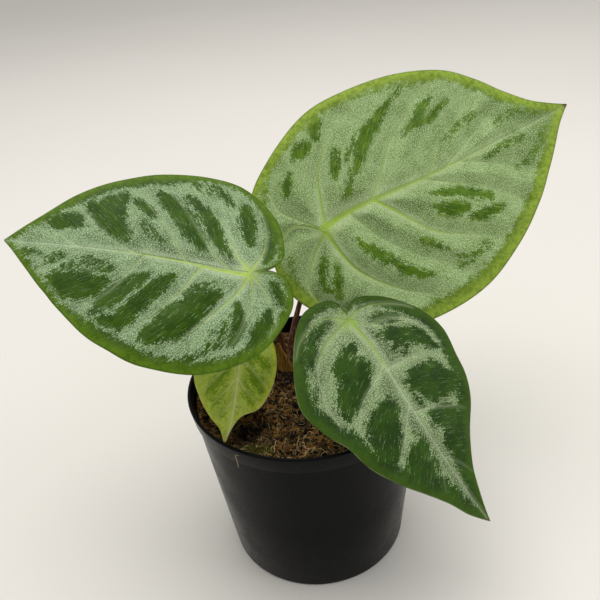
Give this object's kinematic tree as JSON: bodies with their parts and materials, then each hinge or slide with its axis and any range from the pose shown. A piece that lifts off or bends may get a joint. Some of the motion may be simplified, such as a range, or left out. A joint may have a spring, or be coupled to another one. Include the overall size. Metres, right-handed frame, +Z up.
{
  "type": "potted silver blush anthurium",
  "caption": "Young aroid with heart-shaped, silver-veined leaves on thin stalks, growing in a round tapered black nursery pot.",
  "frame": {"origin": "middle of the pot's flat underside, on the surface that it stands on", "axes": "+Z up along the pot's axis; +X to the right and +Y away from the viewer, as the plant is seen in its picture: the large back leaf points along +X and the left leaf along -X"},
  "size_m": [0.2182, 0.1311, 0.1667],
  "materials": {
    "pot": "satin",
    "mix": "rough",
    "crown": "matte",
    "sheath": "matte",
    "stalk": "satin",
    "blade": "satin",
    "silver_blade": "satin",
    "young_blade": "satin"
  },
  "bodies": {
    "root": {"pot": "pot", "soil": "mix", "stem": "crown", "sheath": "sheath", "petiole_left": "stalk", "leaf_left": "blade", "petiole_back": "stalk", "leaf_back": "silver_blade", "petiole_front": "stalk", "leaf_front": "blade", "petiole_young": "stalk", "leaf_young": "young_blade"}
  },
  "joints": []
}
